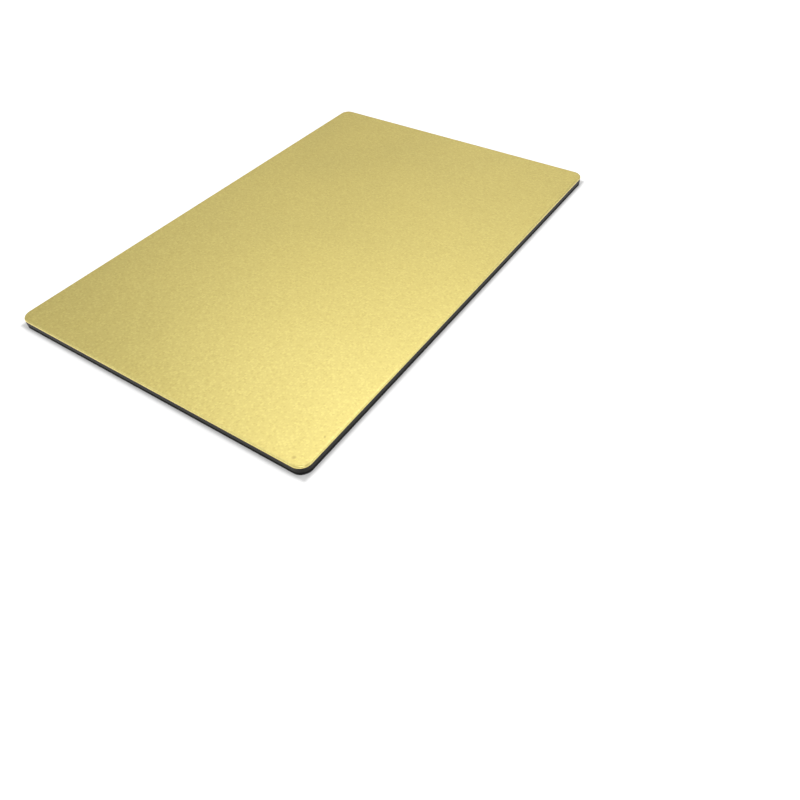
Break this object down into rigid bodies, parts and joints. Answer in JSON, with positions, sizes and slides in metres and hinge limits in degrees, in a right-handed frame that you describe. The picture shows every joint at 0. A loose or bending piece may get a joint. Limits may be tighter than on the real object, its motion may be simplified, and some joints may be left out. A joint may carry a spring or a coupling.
{
  "type": "aluminium composite panel",
  "caption": "Thin rectangular laminated panel with rounded corners: gold coated aluminium face sheet rolled over its edge, black plastic core, bare aluminium back sheet.",
  "frame": {"origin": "centre of the back, on the plane that the panel lies on", "axes": "+Z out of the coated face, +Y along the long side, +X along the short side"},
  "size_m": [0.1, 0.15, 0.003],
  "materials": {
    "gold_coating": "fine metallic flake under a satin lacquer",
    "black_core": "die-cut polyethylene, smooth upper band and rough lower band",
    "back_coating": "thin satin wash coat over rolled aluminium"
  },
  "bodies": {
    "root": {"face_sheet": "gold_coating", "core": "black_core", "back_sheet": "back_coating"}
  },
  "joints": []
}
